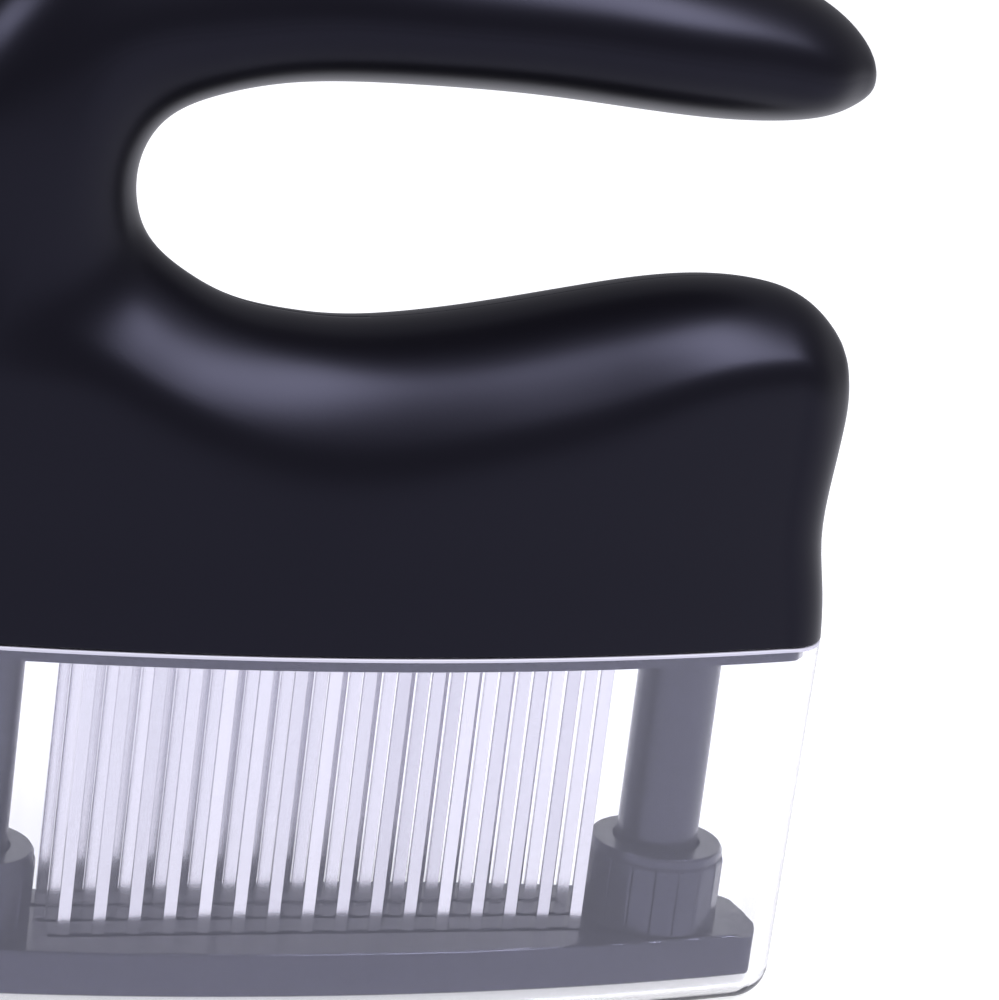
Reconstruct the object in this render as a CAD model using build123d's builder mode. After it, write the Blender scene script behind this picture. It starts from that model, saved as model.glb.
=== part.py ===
from build123d import *
from math import hypot, sqrt
import os

os.makedirs("parts", exist_ok=True)

# A hand-held needle tenderizer, standing on the flat bottom of its blade cover.
# X runs along the handle towards its open end, Y from front to back, Z up.
# All sizes are in millimetres.

# Plan of the body's rim: bowed long sides, straight ends, round corners
half_length = 70.4
half_depth = 19.1
bow_radius = 341.0
rim_corner = 8.0

# The clear cover under the rim
cover_wall = 1.6
cover_floor = 1.8
cover_draft = 0.8
cover_edge_round = 4.6
cover_top_gap = 0.3
spigot_clearance = 0.3

# The foot: a slotted plate that the blades pass through
foot_gap = 1.8
foot_thickness = 6.5
foot_end_gap = 1.1
foot_side_gap = 3.4
foot_bow_radius = 394.0
foot_end_flat = 5.0
foot_edge_break = 0.5
foot_roof_drop = 0.8
groove_depth = 0.8
groove_width = 1.5
slot_play = 0.5

# Blades: the rows fill the foot's depth and the length between the bushes
blade_pitch = 5.1
row_margin = 8.3
row_end_room = 3.3
blade_width = 1.9
blade_thickness = 0.55
blade_point_height = 3.5
tip_recess = 2.0
blade_head_depth = 9.0

# Guide posts, their ring nuts and the stroke
post_inset = 15.8
post_diameter = 11.8
post_bore = 8.4
post_floor = 10.4
post_socket = 2.5
collar_diameter = 20.3
collar_height = 11.9
collar_ribs = 18
collar_rib_radius = 1.1
collar_rib_height = 0.8
collar_chamfer = 0.4
collar_relief_diameter = 12.8
collar_relief_depth = 3.0
stroke = 30.0
stroke_slack = 1.0

# Body bottom: spigot, plate, bushes and stop rings
spigot_depth = 2.6
plug_thickness = 4.0
plug_play = 0.75
running_gap = 0.08
slip = 0.05
bush_length = 10.0
bush_wall = 1.3
bush_flange_wide = 1.6
bush_flange_thick = 1.2
bush_boss_wall = 1.9
stop_gap = 0.3
stop_ring_thick = 1.0
stop_ring_diameter = 15.4
stop_ring_groove = 0.65
stop_ring_opening = 7.0
post_top_margin = 2.2

# Blade bars and the plate that clamps them
bar_play = 0.1
bar_overhang = 2.3
bar_height = 10.4
bar_side_gap = 0.2
blade_slot_width = 1.4
clamp_thickness = 2.5
clamp_overhang = 1.0
clamp_screw_x = 14.0
clamp_ear_radius = 2.6
clamp_ear_gap = 1.1

# Springs
spring_wire = 0.9
spring_diameter = 7.4
spring_turns = 16
spring_seat_height = 43.4
spring_seat_thick = 3.0
spring_seat_half_width = 9.0
spring_pin_diameter = 5.0
spring_pin_length = 5.0

# Screws
screw_diameter = 3.0
screw_head = 5.6
screw_head_height = 1.8
head_play = 0.4
drive_width = 0.9
drive_depth = 1.0
shell_screw_length = 12.0
shell_screw_seat = 6.0
body_screw_height = 31.0
end_screw_height = 24.0
end_screw_inset = 7.0
foot_screw_length = 10.0
plate_screw_length = 10.0
plate_screw_x = 30.0
plate_boss_height = 12.0
boss_diameter = 6.6
boss_gap = 0.3
clamp_screw_length = 8.0

# Shell and handle: heights are above the rim, depths are half depths
wall = 2.4
opening_end = -37.6
valley_height = 43.0
hump_height = 50.5
bar_underside = 76.6
bar_depth = 14.7
bar_thickness = 22.7
column_width = 31.6
column_depth = 13.8
tip_setback = 1.8
below_rim = 20.0
full_round = (0.485, 0.485)
low_belly = (0.41, 0.56)

# Levels that follow from the sizes above
foot_bottom_z = cover_floor + foot_gap
foot_top_z = foot_bottom_z + foot_thickness
collar_top_z = foot_top_z + collar_height
spigot_z = collar_top_z + stroke + stroke_slack
rim_z = spigot_z + spigot_depth
plug_top_z = rim_z + plug_thickness
cover_top_z = rim_z - cover_top_gap
bush_top_z = spigot_z + bush_length
stop_z = bush_top_z + stop_gap
post_bottom_z = foot_top_z - post_socket
post_top_z = stop_z + stop_ring_thick + post_top_margin
spring_floor_z = post_bottom_z + post_floor
spring_seat_z = rim_z + spring_seat_height
bar_top_z = rim_z + bar_height
spigot_inset = cover_wall + spigot_clearance

# Lengths and depths that follow from them
foot_half_length = half_length - cover_wall - foot_end_gap
foot_half_depth = half_depth - cover_wall - foot_side_gap
foot_corner_reach = foot_half_length - foot_half_depth + foot_end_flat
foot_corner_x = foot_bow_radius - sqrt(foot_bow_radius**2 - 2 * foot_bow_radius * foot_corner_reach)
foot_corner = foot_half_length - foot_corner_x
post_x = foot_half_length - post_inset
bush_radius = post_diameter / 2 + running_gap + bush_wall
row_room = 2 * (post_x - bush_radius - bush_boss_wall - row_end_room)
blades_per_row = int((row_room - blade_width) / blade_pitch) + 1
row_length = (blades_per_row - 1) * blade_pitch + blade_width
row_spacing = foot_half_depth - row_margin
bar_width = row_spacing - bar_side_gap
bar_length = row_length + 2 * bar_overhang
pocket_length = bar_length + 2 * bar_play
pocket_width = 2 * row_spacing + bar_width + 2 * bar_play
clamp_screw_y = pocket_width / 2 + clamp_ear_radius + clamp_ear_gap
plate_screw_y = pocket_width / 2 + boss_diameter / 2 + boss_gap
tip_reach = half_length - tip_setback


def plan_outline(length, depth, corner, inset=0.0, bow=bow_radius):
    """Plan with bowed long sides and straight ends, pulled in all round by an inset."""
    with BuildSketch() as outline:
        with Locations((0, bow - depth)):
            Circle(bow - inset)
        with Locations((0, depth - bow)):
            Circle(bow - inset, mode=Mode.INTERSECT)
        Rectangle(2 * (length - inset), 2 * depth, mode=Mode.INTERSECT)
        fillet(outline.vertices(), corner - inset)
    return outline.sketch


def handle_section(inner, outer, depths, rounds, inset=0.0):
    """Section across the C: an arc towards the opening, an arc on the outside, flat sides."""
    run = hypot(outer[0] - inner[0], outer[1] - inner[1])
    ux, uz = (outer[0] - inner[0]) / run, (outer[1] - inner[1]) / run
    inner_round, outer_round = rounds
    inner_depth = depths[0] - inset
    outer_depth = depths[1] - inset
    start = inner_round
    end = run - outer_round
    plane = Plane(origin=(inner[0], 0, inner[1] + rim_z), x_dir=(0, 1, 0), z_dir=(uz, 0, -ux))
    with BuildSketch(plane) as section:
        with BuildLine():
            EllipticalCenterArc((0, start), inner_depth, inner_round - inset, 180, arc_size=180)
            Line((inner_depth, start), (outer_depth, end))
            EllipticalCenterArc((0, end), outer_depth, outer_round - inset, 0, arc_size=180)
            Line((-outer_depth, end), (-inner_depth, start))
        make_face()
    return section.sketch


def bar_station(inner, outer, depth, ends):
    """Station of the bar or column: one half depth, and roundings as shares of the run."""
    run = hypot(outer[0] - inner[0], outer[1] - inner[1])
    return inner, outer, (depth, depth), (ends[0] * run, ends[1] * run)


def sides(inner_less, outer_less):
    """Half depths of a section of the body, as little less than the rim's."""
    return half_depth - inner_less, half_depth - outer_less


# The run of the C, tip first: point on the opening, point on the outside, half depths at the two
# sides, and the two roundings. The bar is egg shaped with its belly low, the column is round.
below = -below_rim
top = bar_underside + bar_thickness
left = opening_end - column_width
tip_run = [
    bar_station((tip_reach, bar_underside + 2.2), (tip_reach, bar_underside + 5.5), 1.9, full_round),
    bar_station((tip_reach - 1.3, bar_underside + 1.2), (tip_reach - 1.3, bar_underside + 8.1), 4.9, full_round),
    bar_station((tip_reach - 4, bar_underside - 0.4), (tip_reach - 4, bar_underside + 11.3), 7.7, full_round),
]
bar_run = [
    bar_station((tip_reach - 8.6, bar_underside - 1.7), (tip_reach - 8.6, top - 8.2), bar_depth - 3.5, low_belly),
    bar_station((tip_reach - 17.6, bar_underside - 2.6), (tip_reach - 17.6, top - 4.6), bar_depth - 1, low_belly),
    bar_station((tip_reach - 30.6, bar_underside - 2.2), (tip_reach - 30.6, top - 2.1), bar_depth + 0.3, low_belly),
    bar_station((20, bar_underside - 0.7), (20, top - 0.4), bar_depth + 0.5, low_belly),
    bar_station((0, bar_underside), (-1, top), bar_depth, low_belly),
    bar_station((-17, bar_underside - 0.6), (-20, top), bar_depth - 1.4, low_belly),
    bar_station((opening_end + 9.6, bar_underside - 3), (-38, top - 1.4), bar_depth - 1.9, low_belly),
    bar_station((opening_end + 2.7, bar_underside - 6.9), (left + 12.2, top - 8.8), column_depth - 0.7, full_round),
    bar_station((opening_end, bar_underside - 12.6), (left + 1.4, top - 24.8), column_depth, full_round),
    bar_station(
        (opening_end + 0.6, valley_height + 15), (left - 0.2, valley_height + 13), column_depth - 1, full_round
    ),
]
base_run = [
    ((opening_end + 3.2, valley_height + 10.2), (-half_length - 2.2, 35.0), sides(6.6, 5.5), (18.7, 15.5)),
    ((opening_end + 8.7, valley_height + 5.8), (-half_length - 6.8, 6.0), sides(4.4, -1.5), (21.7, 12.0)),
    ((opening_end + 16.1, valley_height + 2.3), (8.4 - half_length, below), sides(3.1, -2.0), (18.0, 8.0)),
    ((-12.0, valley_height + 0.5), (-32.0, below), sides(2.1, 0.3), (18.8, 8.0)),
    ((0.0, valley_height + 0.3), (-6.0, below), sides(1.4, -0.6), (20.5, 8.0)),
    ((14.0, valley_height + 2.2), (12.0, below), sides(0.5, -0.3), (24.5, 8.0)),
    ((30.0, hump_height - 2.1), (30.0, below), sides(0.9, 0.7), (25.8, 8.0)),
    ((46.0, hump_height + 0.3), (46.0, below), sides(2.2, 2.2), (25.5, 8.0)),
    ((half_length - 13.4, hump_height - 0.2), (half_length - 13.4, below), sides(3.9, 3.6), (24.0, 8.0)),
    ((half_length - 7.4, hump_height - 2.1), (half_length - 7.4, below), sides(5.5, 4.5), (21.0, 8.0)),
    ((half_length - 2.9, hump_height - 5.6), (half_length - 2.9, below), sides(7.9, 5.7), (18.5, 8.0)),
    ((half_length + 0.4, hump_height - 10.8), (half_length + 0.4, below), sides(10.5, 6.9), (15.0, 8.0)),
    ((half_length + 2.4, hump_height - 18.0), (half_length + 2.4, below), sides(13.6, 7.6), (11.0, 8.0)),
]

# Plan outlines up the body: height above the rim, length and depth beyond the rim's, corner
waist = [
    (-12.0, 0.0, 0.0, rim_corner),
    (0.0, 0.0, 0.0, rim_corner),
    (7.5, -0.7, -0.3, rim_corner + 0.3),
    (14.5, -1.8, -0.6, rim_corner + 0.6),
    (22.5, -1.4, -0.7, rim_corner + 1.2),
    (32.5, 0.1, -0.8, rim_corner + 2.2),
    (48.5, -0.2, -0.8, rim_corner + 2.4),
    (bar_underside + 35.4, 5.0, -0.8, rim_corner + 0.8),
]


def handle_form(inset=0.0):
    """The whole outside of the body and handle, or its hollow when inset by the wall."""
    run = (tip_run if inset == 0 else []) + bar_run + base_run
    sections = [handle_section(*station, inset=inset) for station in run]
    with BuildPart() as c_form:
        loft(sections)
    with BuildPart() as form:
        for height, longer, deeper, corner in waist:
            with BuildSketch(Plane.XY.offset(rim_z + height)):
                add(plan_outline(half_length + longer, half_depth + deeper, corner, inset))
        loft()
        add(c_form.part, mode=Mode.INTERSECT)
    return form.part


outside = handle_form()
end_screw_x = half_length - end_screw_inset
screw_places = [
    (tip_reach - 19.2, bar_underside + 8.2),
    (6.0, bar_underside + 11.6),
    (opening_end - 11.4, bar_underside + 1.6),
    (-20.0, body_screw_height),
    (22.0, body_screw_height),
    (end_screw_x, end_screw_height),
    (-end_screw_x, end_screw_height),
]
shell_screws_at = [(x, rim_z + height) for x, height in screw_places]
posts_at = [(-post_x, 0), (post_x, 0)]
plate_screws_at = [(x, y) for x in (-plate_screw_x, plate_screw_x) for y in (-plate_screw_y, plate_screw_y)]
clamp_screws_at = [(x, y) for x in (-clamp_screw_x, clamp_screw_x) for y in (-clamp_screw_y, clamp_screw_y)]

# The hollow inside the shells, less the bosses and ribs that stand in it
with BuildPart() as inner_space:
    add(handle_form(wall))
    with BuildSketch(Plane.XZ):
        with Locations(*shell_screws_at):
            Circle(boss_diameter / 2)
    extrude(amount=half_depth, both=True, mode=Mode.SUBTRACT)
    with BuildSketch(Plane.XY.offset(plug_top_z)):
        with Locations(*plate_screws_at):
            Circle(boss_diameter / 2)
    extrude(amount=plate_boss_height, mode=Mode.SUBTRACT)
    with BuildSketch(Plane.XY.offset(spring_seat_z)):
        with Locations(*posts_at):
            Rectangle(2 * spring_seat_half_width, 2 * half_depth)
    extrude(amount=spring_seat_thick, mode=Mode.SUBTRACT)
    with BuildSketch(Plane.XY.offset(spring_seat_z)):
        with Locations(*posts_at):
            Circle(spring_pin_diameter / 2)
    extrude(amount=-spring_pin_length, mode=Mode.SUBTRACT)


def half_shell(side):
    """One half of the body and handle, parted on the middle plane, open at the rim."""
    with BuildPart() as shell:
        add(outside)
        split(bisect_by=Plane.XY.offset(rim_z), keep=Keep.TOP)
        add(inner_space.part, mode=Mode.SUBTRACT)
        split(bisect_by=Plane.XZ, keep=side)
        with BuildSketch(Plane.XY.offset(plug_top_z)):
            with Locations(*plate_screws_at):
                Circle(screw_diameter / 2 + slip)
        extrude(amount=plate_screw_length, mode=Mode.SUBTRACT)
    return shell.part


with BuildPart() as front_shell:
    add(half_shell(Keep.TOP))
    with BuildSketch(Plane.XZ):
        with Locations(*shell_screws_at):
            Circle(screw_diameter / 2 + slip)
    extrude(amount=shell_screw_length - shell_screw_seat + slip, mode=Mode.SUBTRACT)
front_shell.part.label = "handle_front_shell"
export_step(front_shell.part, "parts/handle_front_shell.step")

with BuildPart() as rear_shell:
    add(half_shell(Keep.BOTTOM))
    with BuildSketch(Plane.XZ):
        with Locations(*shell_screws_at):
            Circle(screw_diameter / 2 + slip)
    extrude(amount=-shell_screw_seat, mode=Mode.SUBTRACT)
    with BuildSketch(Plane.XZ.offset(-shell_screw_seat)):
        with Locations(*shell_screws_at):
            Circle(screw_head / 2 + head_play)
    extrude(amount=-half_depth, mode=Mode.SUBTRACT)
rear_shell.part.label = "handle_rear_shell"
export_step(rear_shell.part, "parts/handle_rear_shell.step")


def screw(length):
    """Pan-head screw with a cross recess: head above the origin, shank below."""
    with BuildPart() as one:
        with BuildSketch():
            Circle(screw_head / 2)
        extrude(amount=screw_head_height)
        fillet(one.faces().sort_by(Axis.Z)[-1].edges(), screw_head_height / 2)
        with BuildSketch():
            Circle(screw_diameter / 2)
        extrude(amount=-length)
        with BuildSketch(Plane.XY.offset(screw_head_height)):
            Rectangle(screw_diameter, drive_width)
            Rectangle(drive_width, screw_diameter)
        extrude(amount=-drive_depth, mode=Mode.SUBTRACT)
    return one.part


facing_back = (-90, 0, 0)
facing_down = (180, 0, 0)
with BuildPart() as shell_screws:
    with Locations(*[Location((x, shell_screw_seat, z), facing_back) for x, z in shell_screws_at]):
        add(screw(shell_screw_length))
shell_screws.part.label = "shell_screws"
export_step(shell_screws.part, "parts/shell_screws.step")

# Bottom plate: a spigot that the cover slides over, a plug inside the shells, bush bosses
plate_screw_seat = spigot_z + screw_head_height + slip
with BuildPart() as bottom_plate:
    with BuildSketch(Plane.XY.offset(spigot_z)):
        add(plan_outline(half_length, half_depth, rim_corner, spigot_inset))
    extrude(amount=spigot_depth)
    with BuildSketch(Plane.XY.offset(rim_z)):
        add(plan_outline(half_length, half_depth, rim_corner, wall + plug_play))
        Rectangle(pocket_length, pocket_width, mode=Mode.SUBTRACT)
    extrude(amount=plug_thickness)
    with BuildSketch(Plane.XY.offset(plug_top_z)):
        with Locations(*posts_at):
            Circle(bush_radius + bush_boss_wall)
    extrude(amount=bush_top_z - bush_flange_thick - plug_top_z)
    with BuildSketch(Plane.XY.offset(plug_top_z)):
        with Locations(*clamp_screws_at):
            Circle(clamp_ear_radius)
    extrude(amount=bar_top_z - plug_top_z)
    with BuildSketch(Plane.XY.offset(spigot_z)):
        with Locations(*posts_at):
            Circle(bush_radius + slip)
    extrude(amount=bush_length, mode=Mode.SUBTRACT)
    with BuildSketch(Plane.XY.offset(spigot_z)):
        with GridLocations(0, row_spacing, 1, 3):
            Rectangle(row_length + 2 * slot_play, blade_slot_width)
    extrude(amount=spigot_depth, mode=Mode.SUBTRACT)
    with BuildSketch(Plane.XY.offset(spigot_z)):
        with Locations(*plate_screws_at):
            Circle(screw_diameter / 2 + slip)
    extrude(amount=spigot_depth + plug_thickness, mode=Mode.SUBTRACT)
    with BuildSketch(Plane.XY.offset(spigot_z)):
        with Locations(*plate_screws_at):
            Circle(screw_head / 2 + head_play)
    extrude(amount=screw_head_height + slip, mode=Mode.SUBTRACT)
    with BuildSketch(Plane.XY.offset(bar_top_z)):
        with Locations(*clamp_screws_at):
            Circle(screw_diameter / 2 + slip)
    extrude(amount=clamp_thickness - clamp_screw_length - slip, mode=Mode.SUBTRACT)
bottom_plate.part.label = "bottom_plate"
export_step(bottom_plate.part, "parts/bottom_plate.step")

with BuildPart() as bottom_plate_screws:
    with Locations(*[Location((x, y, plate_screw_seat), facing_down) for x, y in plate_screws_at]):
        add(screw(plate_screw_length))
bottom_plate_screws.part.label = "bottom_plate_screws"
export_step(bottom_plate_screws.part, "parts/bottom_plate_screws.step")

# Blades, moulded into one bar for each row
tip_z = foot_bottom_z + tip_recess
blade_top_z = rim_z + blade_head_depth
for row, name in ((-1, "front"), (0, "middle"), (1, "rear")):
    row_y = row * row_spacing
    with BuildPart() as blades:
        with BuildSketch(Plane.XZ.offset(-row_y)):
            with GridLocations(blade_pitch, 0, blades_per_row, 1):
                Polygon(
                    (0, tip_z),
                    (blade_width / 2, tip_z + blade_point_height),
                    (blade_width / 2, blade_top_z),
                    (-blade_width / 2, blade_top_z),
                    (-blade_width / 2, tip_z + blade_point_height),
                    align=None,
                )
        extrude(amount=blade_thickness / 2, both=True)
    blades.part.label = "blades_" + name
    export_step(blades.part, "parts/blades_" + name + ".step")

    with BuildPart() as blade_bar:
        with BuildSketch(Plane.XY.offset(rim_z)):
            with Locations((0, row_y)):
                Rectangle(bar_length, bar_width)
        extrude(amount=bar_height)
        with BuildSketch(Plane.XY.offset(rim_z)):
            with Locations((0, row_y)):
                with GridLocations(blade_pitch, 0, blades_per_row, 1):
                    Rectangle(blade_width + 2 * slip, blade_thickness + 2 * slip)
        extrude(amount=blade_head_depth + slip, mode=Mode.SUBTRACT)
    blade_bar.part.label = "blade_bar_" + name
    export_step(blade_bar.part, "parts/blade_bar_" + name + ".step")

with BuildPart() as blade_clamp:
    with BuildSketch(Plane.XY.offset(bar_top_z)):
        Rectangle(bar_length + 2 * clamp_overhang, pocket_width)
        with Locations((-clamp_screw_x, 0), (clamp_screw_x, 0)):
            SlotCenterToCenter(2 * clamp_screw_y, 2 * clamp_ear_radius, rotation=90)
        with Locations(*clamp_screws_at):
            Circle(screw_diameter / 2 + slip, mode=Mode.SUBTRACT)
    extrude(amount=clamp_thickness)
blade_clamp.part.label = "blade_clamp_plate"
export_step(blade_clamp.part, "parts/blade_clamp_plate.step")

with BuildPart() as clamp_screws:
    with Locations(*[Location((x, y, bar_top_z + clamp_thickness)) for x, y in clamp_screws_at]):
        add(screw(clamp_screw_length))
clamp_screws.part.label = "clamp_screws"
export_step(clamp_screws.part, "parts/clamp_screws.step")

# The foot: plate with roofed ends, a groove and slots for each row, a socket for each post
roof_start = post_x + collar_diameter / 2 + foot_edge_break
with BuildPart() as base_plate:
    with BuildSketch(Plane.XY.offset(foot_bottom_z)):
        add(plan_outline(foot_half_length, foot_half_depth, foot_corner, bow=foot_bow_radius))
    extrude(amount=foot_thickness)
    fillet(base_plate.faces().filter_by(Axis.Z).edges(), foot_edge_break)
    for end in (-1, 1):
        with BuildSketch(Plane.YZ.offset(end * roof_start)):
            for side in (-1, 1):
                with BuildLine():
                    Polyline(
                        (0, foot_top_z),
                        (side * foot_half_depth, foot_top_z),
                        (side * foot_half_depth, foot_top_z - foot_roof_drop),
                        close=True,
                    )
                make_face()
        extrude(amount=end * foot_half_length, mode=Mode.SUBTRACT)
    with BuildSketch(Plane.XY.offset(foot_top_z)):
        with GridLocations(0, row_spacing, 1, 3):
            SlotOverall(row_length + 2 * slot_play + groove_width, groove_width)
    extrude(amount=-groove_depth, mode=Mode.SUBTRACT)
    with BuildSketch(Plane.XY.offset(foot_bottom_z)):
        with GridLocations(blade_pitch, row_spacing, blades_per_row, 3):
            Rectangle(blade_width + 2 * slot_play, blade_thickness + 2 * slot_play - slip)
    extrude(amount=foot_thickness, mode=Mode.SUBTRACT)
    with BuildSketch(Plane.XY.offset(foot_top_z)):
        with Locations(*posts_at):
            Circle(post_diameter / 2 + slip)
    extrude(amount=-post_socket, mode=Mode.SUBTRACT)
    with BuildSketch(Plane.XY.offset(foot_bottom_z)):
        with Locations(*posts_at):
            Circle(screw_diameter / 2 + slip)
    extrude(amount=foot_thickness, mode=Mode.SUBTRACT)
    with BuildSketch(Plane.XY.offset(foot_bottom_z)):
        with Locations(*posts_at):
            Circle(screw_head / 2 + head_play)
    extrude(amount=screw_head_height + slip, mode=Mode.SUBTRACT)
base_plate.part.label = "base_plate"
export_step(base_plate.part, "parts/base_plate.step")

foot_screw_seat = foot_bottom_z + screw_head_height + slip
with BuildPart() as foot_screws:
    with Locations(*[Location((x, y, foot_screw_seat), facing_down) for x, y in posts_at]):
        add(screw(foot_screw_length))
foot_screws.part.label = "foot_screws"
export_step(foot_screws.part, "parts/foot_screws.step")

# Each side: post, stop ring, ring nut, guide bush and return spring
for side, name in ((-1, "left"), (1, "right")):
    place = (side * post_x, 0)
    with BuildPart() as guide_post:
        with BuildSketch(Plane.XY.offset(post_bottom_z)):
            with Locations(place):
                Circle(post_diameter / 2)
        extrude(amount=post_top_z - post_bottom_z)
        with BuildSketch(Plane.XY.offset(post_top_z)):
            with Locations(place):
                Circle(post_bore / 2)
        extrude(amount=spring_floor_z - post_top_z, mode=Mode.SUBTRACT)
        with BuildSketch(Plane.XY.offset(stop_z - slip)):
            with Locations(place):
                Circle(post_diameter / 2)
                Circle(post_diameter / 2 - stop_ring_groove, mode=Mode.SUBTRACT)
        extrude(amount=stop_ring_thick + 2 * slip, mode=Mode.SUBTRACT)
        with BuildSketch(Plane.XY.offset(post_bottom_z)):
            with Locations(place):
                Circle(screw_diameter / 2 + slip)
        extrude(amount=foot_screw_length + foot_screw_seat - post_bottom_z + slip, mode=Mode.SUBTRACT)
    guide_post.part.label = "guide_post_" + name
    export_step(guide_post.part, "parts/guide_post_" + name + ".step")

    with BuildPart() as stop_ring:
        with BuildSketch(Plane.XY.offset(stop_z)):
            with Locations(place):
                Circle(stop_ring_diameter / 2)
                Circle(post_diameter / 2 - stop_ring_groove + slip, mode=Mode.SUBTRACT)
            with Locations((place[0], -stop_ring_diameter / 2)):
                Rectangle(stop_ring_opening, stop_ring_diameter, mode=Mode.SUBTRACT)
        extrude(amount=stop_ring_thick)
    stop_ring.part.label = "stop_ring_" + name
    export_step(stop_ring.part, "parts/stop_ring_" + name + ".step")

    with BuildPart() as collar_nut:
        with BuildSketch(Plane.XY.offset(foot_top_z)):
            with Locations(place):
                Circle(collar_diameter / 2 - collar_rib_height)
                with PolarLocations(collar_diameter / 2 - collar_rib_radius, collar_ribs):
                    Circle(collar_rib_radius)
        extrude(amount=collar_height)
        with BuildSketch(Plane.XY.offset(foot_top_z)):
            with Locations(place):
                Circle(post_diameter / 2 + slip)
        extrude(amount=collar_height, mode=Mode.SUBTRACT)
        with BuildSketch(Plane.XY.offset(collar_top_z)):
            with Locations(place):
                Circle(collar_relief_diameter / 2)
        extrude(amount=-collar_relief_depth, mode=Mode.SUBTRACT)
        with BuildSketch(Plane.XY.offset(foot_top_z), mode=Mode.PRIVATE) as collar_envelope:
            with Locations(place):
                Circle(collar_diameter / 2)
        with BuildPart(mode=Mode.PRIVATE) as envelope:
            extrude(collar_envelope.sketch, amount=collar_height)
            chamfer(envelope.faces().sort_by(Axis.Z)[-1].edges(), collar_chamfer)
        add(envelope.part, mode=Mode.INTERSECT)
    collar_nut.part.label = "collar_nut_" + name
    export_step(collar_nut.part, "parts/collar_nut_" + name + ".step")

    with BuildPart() as guide_bush:
        with BuildSketch(Plane.XY.offset(spigot_z)):
            with Locations(place):
                Circle(bush_radius)
        extrude(amount=bush_length)
        with BuildSketch(Plane.XY.offset(bush_top_z)):
            with Locations(place):
                Circle(bush_radius + bush_flange_wide)
        extrude(amount=-bush_flange_thick)
        with BuildSketch(Plane.XY.offset(spigot_z)):
            with Locations(place):
                Circle(post_diameter / 2 + running_gap)
        extrude(amount=bush_length, mode=Mode.SUBTRACT)
    guide_bush.part.label = "guide_bush_" + name
    export_step(guide_bush.part, "parts/guide_bush_" + name + ".step")

    with BuildPart() as return_spring:
        spring_height = spring_seat_z - spring_floor_z - spring_wire - 2 * slip
        with BuildLine():
            coil = Helix(
                spring_height / spring_turns,
                spring_height,
                (spring_diameter - spring_wire) / 2,
                center=(side * post_x, 0, spring_floor_z + spring_wire / 2 + slip),
            )
        with BuildSketch(coil ^ 0):
            Circle(spring_wire / 2)
        sweep(is_frenet=True)
    return_spring.part.label = "return_spring_" + name
    export_step(return_spring.part, "parts/return_spring_" + name + ".step")

# The clear blade cover, a tub with drafted walls that slides up over the spigot
with BuildPart() as blade_cover:
    with BuildSketch(Plane.XY.offset(cover_top_z)):
        add(plan_outline(half_length, half_depth, rim_corner))
    extrude(amount=-cover_top_z, taper=cover_draft)
    fillet(blade_cover.faces().sort_by(Axis.Z)[0].edges(), cover_edge_round)
    with BuildPart(mode=Mode.PRIVATE) as tub:
        with BuildSketch(Plane.XY.offset(cover_top_z)):
            add(plan_outline(half_length, half_depth, rim_corner, cover_wall))
        extrude(amount=cover_floor - cover_top_z, taper=cover_draft)
        fillet(tub.faces().sort_by(Axis.Z)[0].edges(), cover_edge_round - cover_wall)
    add(tub.part, mode=Mode.SUBTRACT)
blade_cover.part.label = "blade_cover"
export_step(blade_cover.part, "parts/blade_cover.step")
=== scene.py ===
# A hand-held needle tenderizer, standing on the flat bottom of its clear blade cover.
# The frame is in metres: X along the handle to its open end, Y from front to back, Z up.
from math import cos, hypot, pi, radians, sin, tan

import bmesh
import bpy
import numpy as np
from mathutils import Matrix, Vector
from mathutils.bvhtree import BVHTree


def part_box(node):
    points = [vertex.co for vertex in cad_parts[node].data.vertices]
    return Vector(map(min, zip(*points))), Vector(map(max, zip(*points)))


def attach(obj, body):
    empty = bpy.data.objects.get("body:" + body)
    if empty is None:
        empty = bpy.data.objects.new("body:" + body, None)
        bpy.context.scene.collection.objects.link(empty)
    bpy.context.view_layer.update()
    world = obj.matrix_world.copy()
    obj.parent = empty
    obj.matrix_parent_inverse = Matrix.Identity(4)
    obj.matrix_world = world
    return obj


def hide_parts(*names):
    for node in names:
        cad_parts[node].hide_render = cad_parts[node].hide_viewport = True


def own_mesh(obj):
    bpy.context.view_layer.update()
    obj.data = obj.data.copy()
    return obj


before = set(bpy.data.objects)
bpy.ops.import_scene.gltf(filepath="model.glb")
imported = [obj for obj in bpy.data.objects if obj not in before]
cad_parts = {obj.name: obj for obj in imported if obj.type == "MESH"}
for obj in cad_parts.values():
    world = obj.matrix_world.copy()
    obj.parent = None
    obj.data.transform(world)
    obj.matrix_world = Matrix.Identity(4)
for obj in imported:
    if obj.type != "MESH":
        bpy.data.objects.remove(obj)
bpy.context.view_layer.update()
mm = 0.001


def box_radius(node):
    """Half the width of a round node."""
    low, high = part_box(node)
    return (high.x - low.x) / 2


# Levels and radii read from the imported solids
rim_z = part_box("handle_front_shell")[0].z
cover_top_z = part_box("blade_cover")[1].z
foot_top_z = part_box("collar_nut_right")[0].z
collar_top_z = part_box("collar_nut_right")[1].z
collar_radius = box_radius("collar_nut_right")
post_radius = box_radius("guide_post_right")


def colour(hex_value):
    """Linear red, green, blue and full alpha of an sRGB colour such as 0x28252f."""
    channels = [(hex_value >> shift & 255) / 255 for shift in (16, 8, 0)]
    linear = [c / 12.92 if c <= 0.04045 else ((c + 0.055) / 1.055) ** 2.4 for c in channels]
    return (*linear, 1.0)


def add_node(tree, kind, inputs=None, **settings):
    """Adds one node with its settings; an input takes a value or another node's output."""
    made = tree.nodes.new(kind)
    for name, value in settings.items():
        setattr(made, name, value)
    for name, value in (inputs or {}).items():
        if isinstance(value, bpy.types.NodeSocket):
            tree.links.new(value, made.inputs[name])
        else:
            made.inputs[name].default_value = value
    return made


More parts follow.
